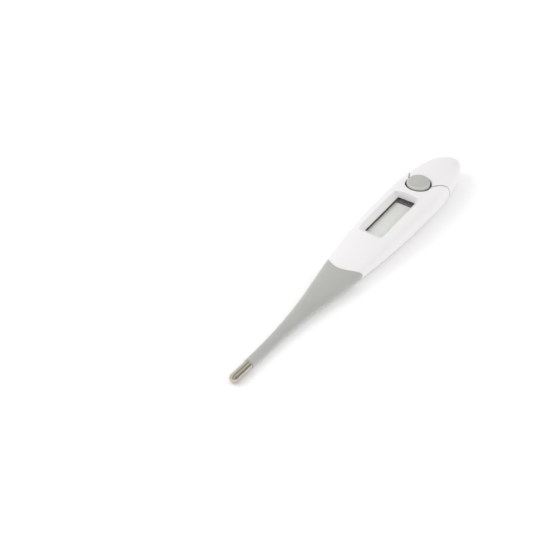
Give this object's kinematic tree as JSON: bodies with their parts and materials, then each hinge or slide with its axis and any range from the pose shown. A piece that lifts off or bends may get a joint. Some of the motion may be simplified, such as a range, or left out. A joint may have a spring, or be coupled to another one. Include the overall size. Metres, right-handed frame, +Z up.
{
  "type": "digital thermometer",
  "caption": "Digital clinical thermometer with a flexible neck, steel probe tip, display window, push button and pull-off battery cover.",
  "frame": {"origin": "on the flat belly it rests on, under the middle of the length", "axes": "+X along the length toward the battery cover, with the probe tip at -X; +Z up through the display; +Y sideways"},
  "size_m": [0.14, 0.019, 0.0123],
  "materials": {
    "white_abs": "smooth moulded white, soft gloss",
    "grey_tpe": "matte soft-touch",
    "probe_steel": "polished, drawn",
    "clear_lens": "clear moulded",
    "black_mask": "matte black",
    "polariser_film": "satin film",
    "lcd_cell": "clear glass",
    "reflector_film": "pearl grey",
    "connector_rubber": "banded rubber",
    "board_green": "solder-masked laminate",
    "chip_resin": "black resin",
    "chip_ceramic": "tan ceramic with tinned ends",
    "carrier_abs": "natural white",
    "sounder_brass": "plain brass",
    "sounder_silver": "silvered ceramic",
    "spring_steel": "plain wire",
    "button_grey": "satin grey",
    "silicone": "translucent silicone",
    "dome_steel": "plain",
    "seal_rubber": "matte",
    "cell_steel": "nickel-plated can",
    "contact_nickel": "nickel-plated strip",
    "bead_glass": "dipped bead",
    "potting_resin": "filled resin",
    "wire_enamel": "enamel"
  },
  "bodies": {
    "housing": {"main_housing": "white_abs", "flexible_neck": "grey_tpe", "display_lens": "clear_lens", "display_mask": "black_mask", "front_polariser": "polariser_film", "lcd_glass": "lcd_cell", "rear_reflector": "reflector_film", "zebra_connectors": "connector_rubber", "circuit_board": "board_green", "chip_blob": "chip_resin", "board_components": "chip_ceramic", "board_carrier": "carrier_abs", "sounder_disc": "sounder_brass", "sounder_ceramic": "sounder_silver", "sounder_springs": "spring_steel", "switch_dome": "dome_steel", "button_seal": "silicone", "cover_seal": "seal_rubber", "sensor_wires": "wire_enamel"},
    "probe": {"probe_cap": "probe_steel", "thermistor_bead": "bead_glass", "thermal_potting": "potting_resin"},
    "button": {"button_cap": "button_grey"},
    "cover": {"battery_cover": "white_abs"},
    "tray": {"battery_tray": "carrier_abs", "battery_cell": "cell_steel", "positive_contact": "contact_nickel", "negative_contact": "contact_nickel"}
  },
  "joints": [
    {"name": "neck_flex", "type": "hinge", "parent": "housing", "child": "probe", "pos_m": [-0.032, 0, 0.0026], "axis": [0, 0, 1], "range_deg": [-45, 45], "stiffness_Nm_per_rad": 0.004, "deforming": ["flexible_neck", "sensor_wires"]},
    {"name": "button_press", "type": "slide", "parent": "housing", "child": "button", "axis": [0, 0, -1], "range_m": [0, 0.0004], "stiffness_N_per_m": 20, "deforming": ["button_seal", "switch_dome"]},
    {"name": "cover_pull", "type": "slide", "parent": "housing", "child": "cover", "axis": [1, 0, 0], "range_m": [0, 0.03]},
    {"name": "tray_slide", "type": "slide", "parent": "housing", "child": "tray", "axis": [1, 0, 0], "range_m": [0, 0.01]}
  ],
  "couplings": [
    {"joint": "tray_slide", "follows": "cover_pull", "ratio": 0.333}
  ]
}
